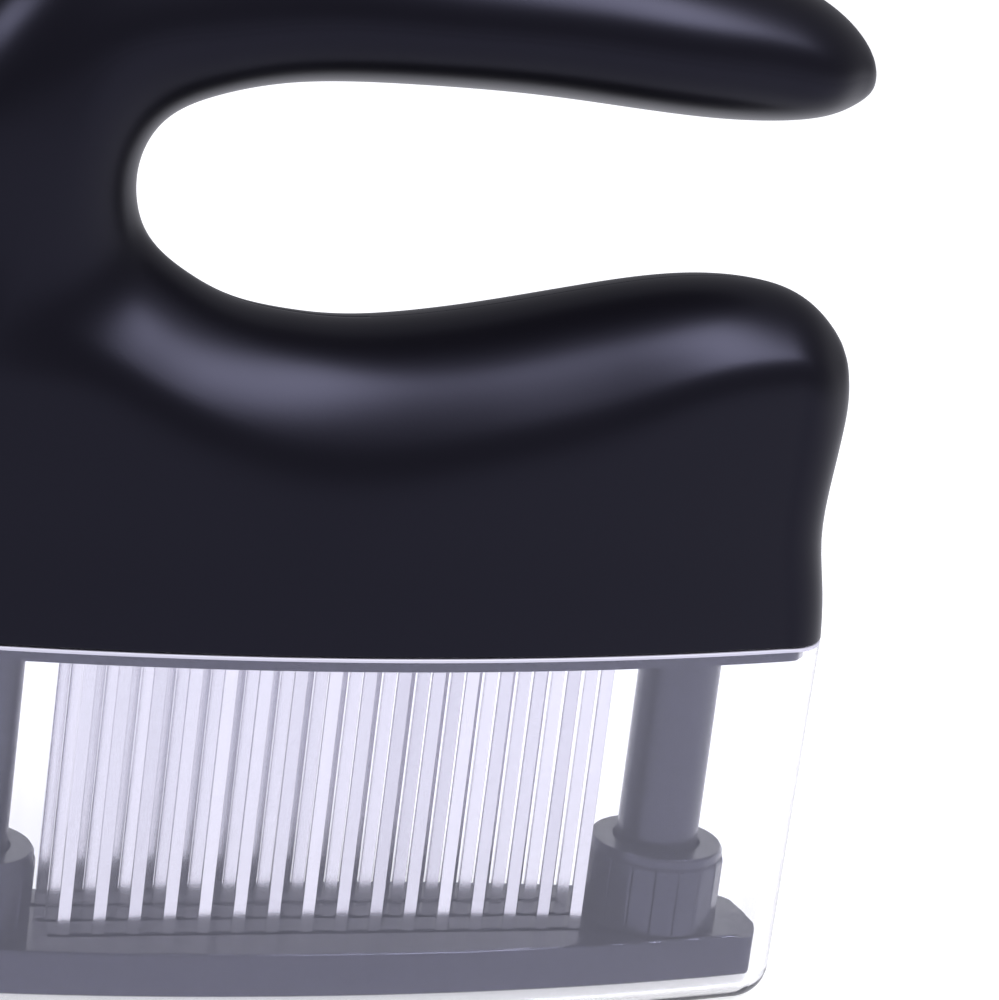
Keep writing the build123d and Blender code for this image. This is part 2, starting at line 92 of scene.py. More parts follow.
def cleared_tree(owner):
    """The node tree of a material or a world, with nothing in it."""
    owner.use_nodes = True
    owner.node_tree.nodes.clear()
    return owner.node_tree


def new_material(name):
    """An empty node material and its tree."""
    made = bpy.data.materials.new(name)
    return made, cleared_tree(made)


def finished(material, inputs):
    """The material, ended in one Principled shader with these inputs."""
    shader = add_node(material.node_tree, "ShaderNodeBsdfPrincipled", inputs)
    add_node(material.node_tree, "ShaderNodeOutputMaterial", {"Surface": shader.outputs[0]})
    return material


def noise_on(tree, width_mm, detail=2.0, stretch=(1, 1, 1)):
    """Noise in object space whose patches are about width_mm wide."""
    place = add_node(tree, "ShaderNodeTexCoord")
    fitted = add_node(tree, "ShaderNodeMapping", {"Vector": place.outputs["Object"], "Scale": stretch})
    noise = add_node(tree, "ShaderNodeTexNoise", {
        "Vector": fitted.outputs[0], "Scale": 1 / (width_mm * mm), "Detail": detail,
    })
    return noise.outputs[0]


abs_ior = 1.53
styrene_ior = 1.5
cool_sheen = 0xd8d8ff

# The tone of a blade is drawn from a cell as long as the blades' pitch and as deep as a row
blade_cell = (5.1 * mm, 5.8 * mm, 10.0)


def satin_black_abs():
    """Injection moulded ABS from a finely spark-eroded mould: an even satin sheen, cool black."""
    made, tree = new_material("satin_black_abs")
    cloud = noise_on(tree, width_mm=14.0)
    roughness = add_node(tree, "ShaderNodeMapRange", {"Value": cloud, "To Min": 0.29, "To Max": 0.32})
    # The real grain is finer and would not show, so it is drawn at half a millimetre
    grain = noise_on(tree, width_mm=0.45)
    dimples = add_node(tree, "ShaderNodeBump", {"Height": grain, "Distance": 0.004 * mm, "Strength": 1.0})
    return finished(made, {
        "Base Color": colour(0x0b0a0f), "IOR": abs_ior, "Specular IOR Level": 0.2,
        "Specular Tint": colour(cool_sheen), "Roughness": roughness.outputs[0], "Normal": dimples.outputs[0],
    })


def glossy_black_abs():
    """ABS from a polished mould: near mirror-smooth, with faint handling haze."""
    made, tree = new_material("glossy_black_abs")
    haze = noise_on(tree, width_mm=6.0, detail=3.0)
    roughness = add_node(tree, "ShaderNodeMapRange", {"Value": haze, "To Min": 0.16, "To Max": 0.26})
    return finished(made, {
        "Base Color": colour(0x17151f), "IOR": abs_ior, "Specular Tint": colour(cool_sheen),
        "Roughness": roughness.outputs[0],
    })


def ground_stainless():
    """Hardened stainless strip, ground lengthways: bright, with fine lines along each blade."""
    made, tree = new_material("ground_stainless")
    # The lines run up the blade, and are drawn as coarse as they need to show
    lines = noise_on(tree, width_mm=0.12, stretch=(1, 1, 0.01))
    roughness = add_node(tree, "ShaderNodeMapRange", {"Value": lines, "To Min": 0.12, "To Max": 0.2})
    scratches = add_node(tree, "ShaderNodeBump", {"Height": lines, "Distance": 0.002 * mm, "Strength": 1.0})
    place = add_node(tree, "ShaderNodeTexCoord")
    cell = add_node(
        tree, "ShaderNodeVectorMath", {0: place.outputs["Object"], 1: blade_cell}, operation="SNAP",
    )
    tone = add_node(tree, "ShaderNodeTexWhiteNoise", {"Vector": cell.outputs[0]}, noise_dimensions="3D")
    shade = add_node(tree, "ShaderNodeMix", {
        "Factor": tone.outputs["Value"], "A": colour(0xbebcc6), "B": colour(0xd2d0d9),
    }, data_type="RGBA")
    return finished(made, {
        "Metallic": 1.0, "Base Color": shade.outputs["Result"], "Roughness": roughness.outputs[0],
        "Normal": scratches.outputs[0],
    })


def drawn_steel(name, tint, roughness, spread=0.05):
    """Drawn or plated steel for wire and screws: smooth, with a little mottling."""
    made, tree = new_material(name)
    mottle = noise_on(tree, width_mm=1.2)
    uneven = add_node(tree, "ShaderNodeMapRange", {
        "Value": mottle, "To Min": roughness - spread, "To Max": roughness + spread,
    })
    return finished(made, {"Metallic": 1.0, "Base Color": colour(tint), "Roughness": uneven.outputs[0]})


def moulded_plastic(name, tint, roughness, spread=0.06):
    """Unpolished moulded plastic for inner pieces: dull, with slight flow marks."""
    made, tree = new_material(name)
    flow = noise_on(tree, width_mm=5.0, stretch=(0.3, 1, 1))
    uneven = add_node(tree, "ShaderNodeMapRange", {
        "Value": flow, "To Min": roughness - spread, "To Max": roughness + spread,
    })
    return finished(made, {"Base Color": colour(tint), "Roughness": uneven.outputs[0]})


def clear_styrene():
    """Injection moulded clear polystyrene: see-through with a slight milky, lavender veil."""
    made, tree = new_material("clear_styrene")
    drift = noise_on(tree, width_mm=9.0)
    roughness = add_node(tree, "ShaderNodeMapRange", {"Value": drift, "To Min": 0.01, "To Max": 0.03})
    return finished(made, {
        "Base Color": colour(0xfcfcff), "IOR": styrene_ior, "Specular Tint": colour(0xe4e4ff),
        "Transmission Weight": 0.98, "Roughness": roughness.outputs[0],
    })


def painted_highlight_styrene():
    """The cover's mouth edge: the same plastic, made pale and nearly opaque as a painted highlight for the
    white line that light gives the clear wall's edge.
    """
    made = new_material("painted_highlight_styrene")[0]
    return finished(made, {
        "Base Color": colour(0xd4d2e0), "IOR": styrene_ior, "Transmission Weight": 0.1, "Roughness": 0.35,
    })


body_abs = satin_black_abs()
foot_abs = glossy_black_abs()
blade_steel = ground_stainless()
spring_steel = drawn_steel("drawn_spring_wire", tint=0xb4b4b8, roughness=0.28)
screw_steel = drawn_steel("zinc_plated_steel", tint=0xc4c6cb, roughness=0.32)
inner_plastic = moulded_plastic("moulded_nylon", tint=0x2b2b2f, roughness=0.5)
bush_plastic = moulded_plastic("natural_acetal", tint=0xe4e1d8, roughness=0.4)
clear_plastic = clear_styrene()
# The mouth edge's pale, nearly opaque colour is a painted highlight
mouth_highlight_plastic = painted_highlight_styrene()


def new_piece(name, mesh, body, materials, node):
    """Makes a finished mesh a piece of the object: it rides on its body and stands for its CAD node."""
    made = bpy.data.objects.new(name, mesh)
    bpy.context.scene.collection.objects.link(made)
    # A mesh from a tree comes with its material, and the others have none yet
    for place, material in enumerate(materials):
        if place < len(mesh.materials):
            mesh.materials[place] = material
        else:
            mesh.materials.append(material)
    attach(made, body)
    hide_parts(node)
    return made


def plain_mesh(holder):
    """The mesh of an object after its modifiers. They and the object are then removed."""
    bpy.context.scene.collection.objects.link(holder)
    bpy.context.view_layer.update()
    made = bpy.data.meshes.new_from_object(holder.evaluated_get(bpy.context.evaluated_depsgraph_get()))
    holder.modifiers.clear()
    bpy.data.objects.remove(holder)
    return made


def baked(name, mesh, *modifiers):
    """A mesh after its modifiers, each given as its kind and its settings."""
    holder = bpy.data.objects.new(name, mesh)
    for kind, settings in modifiers:
        added = holder.modifiers.new(kind.title(), kind)
        for key, value in settings.items():
            setattr(added, key, value)
    return plain_mesh(holder)


def size_tree(name, **kinds):
    """A Geometry Nodes tree with a named input for each size, and the outputs of those inputs."""
    tree = bpy.data.node_groups.new(name, "GeometryNodeTree")
    tree.interface.new_socket("Geometry", in_out="OUTPUT", socket_type="NodeSocketGeometry")
    tree.interface.new_socket("Geometry", in_out="INPUT", socket_type="NodeSocketGeometry")
    for label, kind in kinds.items():
        tree.interface.new_socket(label, in_out="INPUT", socket_type="NodeSocket" + kind)
    return tree, add_node(tree, "NodeGroupInput").outputs


def grown(tree, last, material, base, **sizes):
    """Ends a tree in real geometry with its material, and bakes it from a base mesh and its sizes."""
    real = add_node(tree, "GeometryNodeRealizeInstances", {"Geometry": last})
    coated = add_node(tree, "GeometryNodeSetMaterial", {"Geometry": real.outputs[0], "Material": material})
    add_node(tree, "NodeGroupOutput", {"Geometry": coated.outputs[0]})
    holder = bpy.data.objects.new(tree.name, base)
    grower = holder.modifiers.new(tree.name, "NODES")
    grower.node_group = tree
    for socket in tree.interface.items_tree:
        if socket.in_out == "INPUT" and socket.name in sizes:
            grower[socket.identifier] = sizes[socket.name]
    return plain_mesh(holder)


def as_mesh(name, form):
    """The mesh of a bmesh, which is then freed."""
    mesh = bpy.data.meshes.new(name)
    form.to_mesh(mesh)
    form.free()
    return mesh


def join_rings(form, rings):
    """Quads from each closed ring of points to the next."""
    for low, high in zip(rings, rings[1:]):
        for k in range(len(low)):
            after = (k + 1) % len(low)
            form.faces.new((low[k], low[after], high[after], high[k]))


def turned(profile, centre, sides=72):
    """A closed profile of radius and height, in metres, turned round an upright axis."""
    form = bmesh.new()
    rings = []
    for radius, height in profile:
        ring = []
        for k in range(sides):
            angle = 2 * pi * k / sides
            place = (centre[0] + radius * cos(angle), centre[1] + radius * sin(angle), height)
            ring.append(form.verts.new(place))
        rings.append(ring)
    join_rings(form, rings + rings[:1])
    bmesh.ops.recalc_face_normals(form, faces=form.faces)
    return form


def thick_outline(outline, thickness, edge, segments):
    """An outline in X and Z with a thickness along Y and bevelled edges, in metres."""
    form = bmesh.new()
    side = form.faces.new([form.verts.new((x, -thickness / 2, z)) for x, z in outline])
    pushed = bmesh.ops.extrude_face_region(form, geom=[side])["geom"]
    corners = [part for part in pushed if isinstance(part, bmesh.types.BMVert)]
    bmesh.ops.translate(form, verts=corners, vec=(0, thickness, 0))
    bmesh.ops.recalc_face_normals(form, faces=form.faces)
    bmesh.ops.bevel(form, geom=form.edges[:], offset=edge, segments=segments, affect="EDGES", profile=0.5)
    return form


# Shading: normals follow the large faces. An edge of a smooth copy is crisp from the crease angle on,
# and from the ridge angle on where both its faces are wide and look up.
weighted_normals = ("WEIGHTED_NORMAL", {"keep_sharp": True})
copy_weld = 0.0005
upward = 0.9
wide_face = (2 * mm) ** 2


def smooth_copy(node, body, material, crease=28.0, ridge=28.0):
    """A welded copy of a CAD node: smooth on round faces, crisp on edges and on ridges of its top."""
    form = bmesh.new()
    form.from_mesh(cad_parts[node].data)
    bmesh.ops.remove_doubles(form, verts=form.verts, dist=copy_weld * mm)
    for face in form.faces:
        face.smooth = True
    for edge in form.edges:
        on_top = all(face.normal.z > upward and face.calc_area() > wide_face for face in edge.link_faces)
        edge.smooth = edge.calc_face_angle(pi) < radians(ridge if on_top else crease)
    mesh = baked(node + "_form", as_mesh(node + "_form", form), weighted_normals)
    return new_piece(node + "_piece", mesh, body, [material], node)


# The C of the handle and body, in millimetres: places along X and heights above the rim. The
# body's sections end below the rim, whose plane cuts them off.
opening_end = -37.6
valley = 43.0
hump = 50.5
underside = 76.6
top = 99.29
left = -69.2
tip = 68.6
below = -20.0

# How far a section of the bar is rounded at the opening and outside, as shares of its run: the
# sections near the tip and down the column are round, and the others are egg shaped, belly low
full_round = (0.485, 0.485)
low_belly = (0.41, 0.56)

# The body's sections are this much deeper at the bottom than its plan, which then trims them
side_cover = 3.0


def bar_station(inner, outer, depth, ends):
    """A section of the bar or column, its two roundings as shares of its run."""
    run = hypot(outer[0] - inner[0], outer[1] - inner[1])
    return (*inner, *outer, depth, depth, ends[0] * run, ends[1] * run)


# The stations of the C, tip first: the point on the opening and the point on the outside, the half
# depth at both, and how far both are rounded. The body's stations name all eight one by one.
handle_run = [
    bar_station((tip, underside + 2.2), (tip, underside + 5.5), 1.9, full_round),
    bar_station((tip - 1.3, underside + 1.2), (tip - 1.3, underside + 8.1), 4.9, full_round),
    bar_station((tip - 4, underside - 0.4), (tip - 4, underside + 11.3), 7.8, full_round),
    bar_station((60, underside - 1.7), (60, top - 8.2), 11.3, low_belly),
    bar_station((51, underside - 2.6), (51, top - 4.6), 13.7, low_belly),
    bar_station((38, underside - 2.2), (38, top - 2.1), 15.0, low_belly),
    bar_station((20, underside - 0.7), (20, top - 0.4), 15.2, low_belly),
    bar_station((0, underside), (-1, top), 14.7, low_belly),
    bar_station((-17, underside - 0.6), (-20, top), 13.3, low_belly),
    bar_station((opening_end + 9.6, underside - 3), (-38, top - 1.4), 12.8, low_belly),
    bar_station((opening_end + 2.7, underside - 6.9), (left + 12.2, top - 8.8), 13.1, full_round),
    bar_station((opening_end, underside - 12.6), (left + 1.4, top - 24.8), 13.8, full_round),
    bar_station((opening_end + 0.6, valley + 15), (left - 0.2, valley + 13), 12.8, full_round),
    (opening_end + 3.2, valley + 10.2, left - 3.4, 35.0, 12.5, 13.6, 18.7, 15.5),
    (opening_end + 8.7, valley + 5.8, left - 8.0, 6.0, 14.7, 22.0, 23.2, 12.0),
    (opening_end + 16.1, valley + 2.3, -62.0, below, 16.0, 23.4 + side_cover, 22.0, 8.0),
    (-12.0, valley + 0.5, -32.0, below, 17.0, 18.8 + side_cover, 22.6, 8.0),
    (0.0, valley + 0.3, -6.0, below, 17.7, 19.7 + side_cover, 22.6, 8.0),
    (14.0, valley + 2.2, 12.0, below, 18.6, 19.4 + side_cover, 24.8, 8.0),
    (30.0, hump - 2.1, 30.0, below, 18.2, 18.4 + side_cover, 25.8, 8.0),
    (46.0, hump + 0.3, 46.0, below, 17.0, 17.0 + side_cover, 23.0, 8.0),
    (57.0, hump - 0.2, 57.0, below, 15.4, 15.6 + side_cover, 20.0, 8.0),
    (63.0, hump - 2.1, 63.0, below, 13.6, 14.6 + side_cover, 17.5, 8.0),
    (67.5, hump - 5.6, 67.5, below, 11.2, 13.4 + side_cover, 18.5, 8.0),
    (70.8, hump - 10.8, 70.8, below, 8.6, 12.2 + side_cover, 15.0, 8.0),
    (72.8, hump - 18.0, 72.8, below, 5.5, 11.5 + side_cover, 11.0, 8.0),
]

# The plan of the body: bowed sides, straight ends and round corners, in millimetres. Its half
# length, half depth and corner radius change with the height above the rim.
half_length = 70.4
half_depth = 19.1
bow_radius = 341.0
waist_heights = np.array([-12.0, 0.0, 7.5, 14.5, 22.5, 32.5, 48.5, 112.0])
waist_sizes = np.array([
    (half_length, half_depth, 8.0),
    (half_length, half_depth, 8.0),
    (half_length - 0.7, half_depth - 0.3, 8.3),
    (half_length - 1.8, half_depth - 0.6, 8.6),
    (half_length - 1.4, half_depth - 0.7, 9.2),
    (half_length - 0.05, half_depth - 0.8, 10.2),
    (half_length - 0.35, half_depth - 0.8, 10.4),
    (half_length + 5.0, half_depth - 0.8, 8.8),
])
crease_blend = 1.6


def spline(knots, values, at):
    """Natural cubic spline through rows of values at the knots."""
    gaps = np.diff(knots)
    slopes = np.diff(values, axis=0) / gaps[:, None]
    system = np.zeros((len(knots), len(knots)))
    wanted = np.zeros(values.shape)
    system[0, 0] = system[-1, -1] = 1
    for i in range(1, len(knots) - 1):
        system[i, i - 1:i + 2] = gaps[i - 1], 2 * (gaps[i - 1] + gaps[i]), gaps[i]
        wanted[i] = 6 * (slopes[i] - slopes[i - 1])
    bends = np.linalg.solve(system, wanted)
    i = np.clip(np.searchsorted(knots, at) - 1, 0, len(knots) - 2)
    gap = gaps[i][:, None]
    after = (knots[i + 1] - at)[:, None]
    before = (at - knots[i])[:, None]
    curved = (bends[i] * after**3 + bends[i + 1] * before**3) / (6 * gap)
    start = (values[i] / gap - bends[i] * gap / 6) * after
    end = (values[i + 1] / gap - bends[i + 1] * gap / 6) * before
    return curved + start + end


# Points of a half section: angles over each of its two roundings, shares of the side between them
round_turns = np.linspace(0, pi / 2, 32)
side_shares = np.linspace(0, 1, 21)[1:-1]


def section_points(station):
    """One half section: its whole run, the distance of each point along it, and the half depths."""
    inner_x, inner_z, outer_x, outer_z, inner_depth, outer_depth, inner_round, outer_round = station
    run = hypot(outer_x - inner_x, outer_z - inner_z)
    along = np.concatenate([
        inner_round * (1 - np.cos(round_turns)),
        inner_round + (run - inner_round - outer_round) * side_shares,
        run - outer_round * (1 - np.sin(round_turns)),
    ])
    fullness = np.concatenate([np.sin(round_turns), np.ones(len(side_shares)), np.cos(round_turns)])
    share = along / run
    eased = share * share * (3 - 2 * share)
    return run, along, fullness * (inner_depth + (outer_depth - inner_depth) * eased)


# The tip ends in a low dome, whose first row is as good as a point
tip_dome = 0.5
tip_point = 0.001


def handle_surface(rows_per_mm=1.15, dome_rows=8, end_rows=18):
    """Rows of points over one half of the C-shaped body, before its sides are trimmed."""
    stations = np.array(handle_run)
    middle = (stations[:, 0:2] + stations[:, 2:4]) / 2
    outer = stations[:, 2:4]
    steps = np.hypot(*np.diff(middle, axis=0).T) + np.hypot(*np.diff(outer, axis=0).T)
    knots = np.concatenate([[0], np.cumsum(steps / 2)])
    dense = spline(knots, stations, np.linspace(0, knots[-1], int(knots[-1] * rows_per_mm)))
    rows = []

    def add_row(station, size=1.0, thinner=1.0, ahead=0.0):
        """One section, shrunk about its middle, thinned, and moved towards the tip."""
        run, along, depth = section_points(station)
        ux, uz = (station[2] - station[0]) / run, (station[3] - station[1]) / run
        along = run / 2 + (along - run / 2) * size
        x = station[0] + ux * along + uz * ahead
        z = station[1] + uz * along - ux * ahead
        rows.append(np.stack([x, -depth * size * thinner, z], axis=1))

    for k in range(dome_rows):
        share = k / dome_rows
        add_row(dense[0], size=max(share, tip_point), ahead=tip_dome * (1 - share**2))
    for station in dense:
        add_row(station)
    for k in range(1, end_rows + 1):
        add_row(dense[-1], thinner=1 - k / end_rows)
    return np.array(rows)


def trim_to_plan(points):
    """Pulls points that stand outside the plan outline in to it, with a soft edge."""
    x, y, height = points[..., 0], points[..., 1], points[..., 2]
    level = np.clip(height, waist_heights[0], waist_heights[-1]).ravel()
    sizes = spline(waist_heights, waist_sizes, level).reshape(*x.shape, 3)
    length, depth, corner = sizes[..., 0], sizes[..., 1], sizes[..., 2]
    bowed = depth - np.minimum(np.abs(x), length - corner) ** 2 / (2 * bow_radius)
    out_x = np.maximum(np.abs(x) - (length - corner), 0)
    out_y = np.maximum(np.abs(y) - (bowed - corner), 0)
    reach = np.hypot(out_x, out_y)
    distance = reach - corner
    soft = (distance + crease_blend) ** 2 / (4 * crease_blend)
    pull = np.where(distance > crease_blend, distance, np.where(distance > -crease_blend, soft, 0))
    # A point with no reach isn't pulled, and the tiny floor only keeps its division whole
    reach = np.maximum(reach, 1e-9)
    moved = points.copy()
    moved[..., 0] -= np.sign(x) * pull * out_x / reach
    moved[..., 1] -= np.sign(y) * pull * out_y / reach
    return moved


def grid_mesh(name, rows):
    """Quads over rows of points."""
    count, width = rows.shape[:2]
    index = np.arange(count * width).reshape(count, width)
    corners = [index[:-1, :-1], index[1:, :-1], index[1:, 1:], index[:-1, 1:]]
    faces = np.stack(corners, axis=-1).reshape(-1, 4)
    mesh = bpy.data.meshes.new(name)
    mesh.from_pydata(rows.reshape(-1, 3).tolist(), [], faces.tolist())
    return mesh


# The wall of the shells, in millimetres. Above bar_low it thins over a length before the tip, down
# to a share of its thickness, because the tip's end is thinner than two whole walls.
shell_wall = 2.0
tip_wall = 0.25
bar_low = underside - 10
thin_from = tip - 20
thin_length = 18
rim_snap = 0.3
shell_weld = 0.004
cut_weld = 0.001
broken_edge = 0.09
broken_from = 60.0


def thin_towards_tip(mesh):
    """Vertex weights for the wall: full in the body, a share of it at the tip of the bar."""
    holder = bpy.data.objects.new("wall_weights", mesh)
    wall = holder.vertex_groups.new(name="wall")
    for vertex in mesh.vertices:
        over_bar = vertex.co.z > rim_z + bar_low * mm
        near_tip = min(max((vertex.co.x / mm - thin_from) / thin_length, 0), 1)
        wall.add([vertex.index], 1 - (1 - tip_wall) * near_tip * over_bar, "REPLACE")
    bpy.data.objects.remove(holder)


def half_shell(side):
    """The skin of one half of the handle and body, open at the rim: side -1 is the back, 1 the front."""
    rows = trim_to_plan(handle_surface())
    rows[..., 1] *= side
    rows[..., 2] = np.where(np.abs(rows[..., 2]) < rim_snap, 0, rows[..., 2])
    rows = rows * mm
    rows[..., 2] += rim_z
    form = bmesh.new()
    form.from_mesh(grid_mesh("half", rows))
    bmesh.ops.remove_doubles(form, verts=form.verts, dist=shell_weld * mm)
    bmesh.ops.bisect_plane(
        form, geom=form.verts[:] + form.edges[:] + form.faces[:], dist=cut_weld * mm,
        plane_co=(0, 0, rim_z), plane_no=(0, 0, 1), clear_inner=True,
    )
    bmesh.ops.recalc_face_normals(form, faces=form.faces)
    highest = max(form.faces, key=lambda face: face.calc_center_median().z)
    if highest.normal.z < 0:
        bmesh.ops.reverse_faces(form, faces=form.faces)
    for face in form.faces:
        face.smooth = True
    mesh = as_mesh("half_shell", form)
    thin_towards_tip(mesh)
    return mesh


# The back shell's screw recesses, in millimetres: place along X and height above the rim, and how
# far back the rays start that find the shell's skin
recess_places = [
    (tip - 19.2, underside + 8.2), (6.0, underside + 11.6), (-49.0, underside + 1.6),
    (-20.0, 31.0), (22.0, 31.0), (-63.4, 24.0), (63.4, 24.0),
]
recess_radius = 3.2
recess_seat = 6.0
recess_sides = 48
rod_length = 40.0
cup_play = 0.05
cup_wall = 1.3
screw_hole = 1.6
ray_start = 60.0


def round_cutter():
    """Seven rods that open the back wall over the screws."""
    form = bmesh.new()
    for x, height in recess_places:
        middle = (x * mm, (recess_seat + rod_length / 2) * mm, rim_z + height * mm)
        bmesh.ops.create_cone(
            form, cap_ends=True, segments=recess_sides, radius1=recess_radius * mm,
            radius2=recess_radius * mm, depth=rod_length * mm,
            matrix=Matrix.Translation(middle) @ Matrix.Rotation(pi / 2, 4, "X"),
        )
    return as_mesh("round_cutter", form)


def screw_cups(outside):
    """Cups behind the openings: each reaches into the wall's thickness and ends in a screw seat."""
    surface = BVHTree.FromPolygons([v.co for v in outside.vertices], [p.vertices for p in outside.polygons])
    inner = recess_radius + cup_play
    outer = inner + cup_wall
    seat_back = recess_seat - cup_wall
    # Each ring's radius and level; a ring with no level lies in the middle of the wall
    profile = (
        (inner, None), (inner, recess_seat), (screw_hole, recess_seat),
        (screw_hole, seat_back), (outer, seat_back), (outer, None),
    )
    form = bmesh.new()
    for x, height in recess_places:
        rings = []
        for radius, level in profile:
            ring = []
            for k in range(recess_sides):
                angle = 2 * pi * k / recess_sides
                px = (x + radius * cos(angle)) * mm
                pz = rim_z + (height + radius * sin(angle)) * mm
                depth = level
                if level is None:
                    skin = surface.ray_cast(Vector((px, ray_start * mm, pz)), Vector((0, -1, 0)))[0]
                    depth = skin.y / mm - shell_wall / 2
                ring.append(form.verts.new((px, depth * mm, pz)))
            rings.append(ring)
        join_rings(form, rings + rings[:1])
    bmesh.ops.recalc_face_normals(form, faces=form.faces)
    return form


def finish_shell(mesh, *cuts):
    """Gives a half shell its wall, its openings and slightly broken edges."""
    return baked(
        "shell", mesh,
        ("SOLIDIFY", {"thickness": shell_wall * mm, "offset": -1.0, "vertex_group": "wall"}),
        *cuts,
        ("BEVEL", {
            "width": broken_edge * mm, "segments": 2, "limit_method": "ANGLE",
            "angle_limit": radians(broken_from), "use_clamp_overlap": False,
        }),
        weighted_normals,
    )


def rear_shell():
    """The back half with its seven screw recesses."""
    outside = half_shell(-1)
    cups = screw_cups(outside)
    cutter = bpy.data.objects.new("round_cutter", round_cutter())
    bpy.context.scene.collection.objects.link(cutter)
    openings = ("BOOLEAN", {"object": cutter, "operation": "DIFFERENCE", "solver": "EXACT"})
    mesh = finish_shell(outside, openings)
    bpy.data.objects.remove(cutter)
    # The cups and the shell go back into one mesh
    cups.from_mesh(mesh)
    cups.to_mesh(mesh)
    cups.free()
    return mesh


front_shell = finish_shell(half_shell(1))
new_piece("handle_front", front_shell, "body", [body_abs], "handle_front_shell")
new_piece("handle_rear", rear_shell(), "body", [body_abs], "handle_rear_shell")


# The clear cover: a drafted tub whose mouth edge carries a painted highlight, in millimetres
cover_wall = 1.6
cover_floor = 1.8
cover_draft = radians(0.8)
cover_round = 4.6
cover_corner = 8.0
cover_weld = 0.002
mouth_band = 0.5
mouth_round = 0.25
mouth_step = 0.07


def plan_ring(inset, side_points=110, arc_points=14, end_points=8, least_corner=0.6):
    """Points round the plan outline pulled in by an inset, counter-clockwise."""
    length = half_length - inset
    depth = half_depth - inset
    corner = max(cover_corner - inset, least_corner)
    bow = bow_radius - inset
    end_depth = depth - (length - corner) ** 2 / (2 * bow)
    lean = (length - corner) / bow
    along = np.linspace(-1, 1, side_points) * (length - corner)
    front = np.stack([along, -(depth - along ** 2 / (2 * bow))], axis=1)
    turn = np.linspace(lean, pi / 2, arc_points)[1:]
    centre = (length - corner, -(end_depth - corner))
    arc = np.stack([centre[0] + corner * np.sin(turn), centre[1] - corner * np.cos(turn)], axis=1)
    end = np.linspace(arc[-1], arc[-1] * (1, -1), end_points)[1:-1]
    half = np.concatenate([front, arc, end, (arc * (1, -1))[::-1]])
    return np.concatenate([half, -half])


def wall_rows(wall, floor, radius, straight_rows=4, round_rows=11):
    """Insets and heights down one side of the cover's wall and round its bottom edge."""
    height = cover_top_z / mm
    straight = height - floor - radius
    rows = []
    for share in np.linspace(0, 1, straight_rows):
        z = height - straight * share
        rows.append((wall + (height - z) * tan(cover_draft), z))
    base = wall + (height - floor) * tan(cover_draft)
    for turn in np.linspace(0, pi / 2, round_rows)[1:]:
        rows.append((base + radius * (1 - cos(turn)), floor + radius * (1 - sin(turn))))
    return rows


def cover_mesh():
    """The cover as rings of points: up the outside from the bottom, over the mouth and down inside."""
    height = cover_top_z / mm
    outer = [
        (mouth_round, height), (mouth_step, height - mouth_step), (0.0, height - mouth_round),
        (0.0, height - mouth_band), *wall_rows(0.0, 0.0, cover_round)[1:],
    ]
    inner = [
        (cover_wall - mouth_round, height), (cover_wall, height - mouth_round),
        *wall_rows(cover_wall, cover_floor, cover_round - cover_wall)[1:],
    ]
    form = bmesh.new()
    rings = []
    for inset, z in outer[::-1] + inner:
        plan = plan_ring(inset)
        points = np.column_stack([plan, np.full(len(plan), z)]) * mm
        rings.append([form.verts.new(point) for point in points])
    join_rings(form, rings)
    form.faces.new(rings[0])
    form.faces.new(rings[-1])
    bmesh.ops.remove_doubles(form, verts=form.verts, dist=cover_weld * mm)
    bmesh.ops.recalc_face_normals(form, faces=form.faces)
    for face in form.faces:
        face.smooth = len(face.verts) == 4
        # The mouth band takes the second material, its painted highlight
        in_band = face.calc_center_median().z > cover_top_z - mouth_band * mm
        face.material_index = 1 if in_band else 0
    return baked("cover_form", as_mesh("cover_form", form), weighted_normals)


# The second material paints the highlight along the mouth edge
cover_materials = [clear_plastic, mouth_highlight_plastic]
new_piece("clear_cover", cover_mesh(), "cover", cover_materials, "blade_cover")

# The blades: flat strips with ground edges and a point, set out in rows by their pitch
blades_in_row = 16
blade_width = 1.9
blade_point = 3.5
blade_edge = 0.06


def pointed_strip(thickness, foot, head):
    """One blade on the Z axis, between the levels of its point and of its head."""
    half = blade_width / 2 * mm
    shoulder = foot + blade_point * mm
    outline = [(0, foot), (half, shoulder), (half, head), (-half, head), (-half, shoulder)]
    return as_mesh("pointed_strip", thick_outline(outline, thickness, blade_edge * mm, segments=1))


def blade_row(node):
    """A row of blades in the place of its CAD node."""
    low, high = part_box(node)
    tree, size = size_tree("row_of_blades", Count="Int", Pitch="Float", First="Vector")
    step = add_node(tree, "ShaderNodeCombineXYZ", {"X": size["Pitch"]})
    places = add_node(tree, "GeometryNodeMeshLine", {
        "Count": size["Count"], "Start Location": size["First"], "Offset": step.outputs[0],
    }, mode="OFFSET")
    row = add_node(tree, "GeometryNodeInstanceOnPoints", {
        "Points": places.outputs[0], "Instance": size["Geometry"],
    })
    mesh = grown(
        tree, row.outputs[0], blade_steel, pointed_strip(high.y - low.y, low.z, high.z),
        Count=blades_in_row, Pitch=(high.x - low.x - blade_width * mm) / (blades_in_row - 1),
        First=(low.x + blade_width / 2 * mm, (low.y + high.y) / 2, 0.0),
    )
    new_piece(node + "_row", mesh, "body", [blade_steel], node)


for node in ("blades_front", "blades_middle", "blades_rear"):
    blade_row(node)


# The ring nuts: a turned ring with a relief round the post, gripped by flat ribs, in millimetres
rib_count = 18
rib_gap = 0.12
rib_sink = 0.42
rib_face = 0.17
rib_root = 1.1
rib_drop = 1.3
rib_slant = 0.4
rib_softness = 0.34
nut_chamfer = 0.35
nut_softness = 0.2
nut_play = 0.05
nut_crease = 35.0
relief_radius = 6.4
relief_depth = 3.0


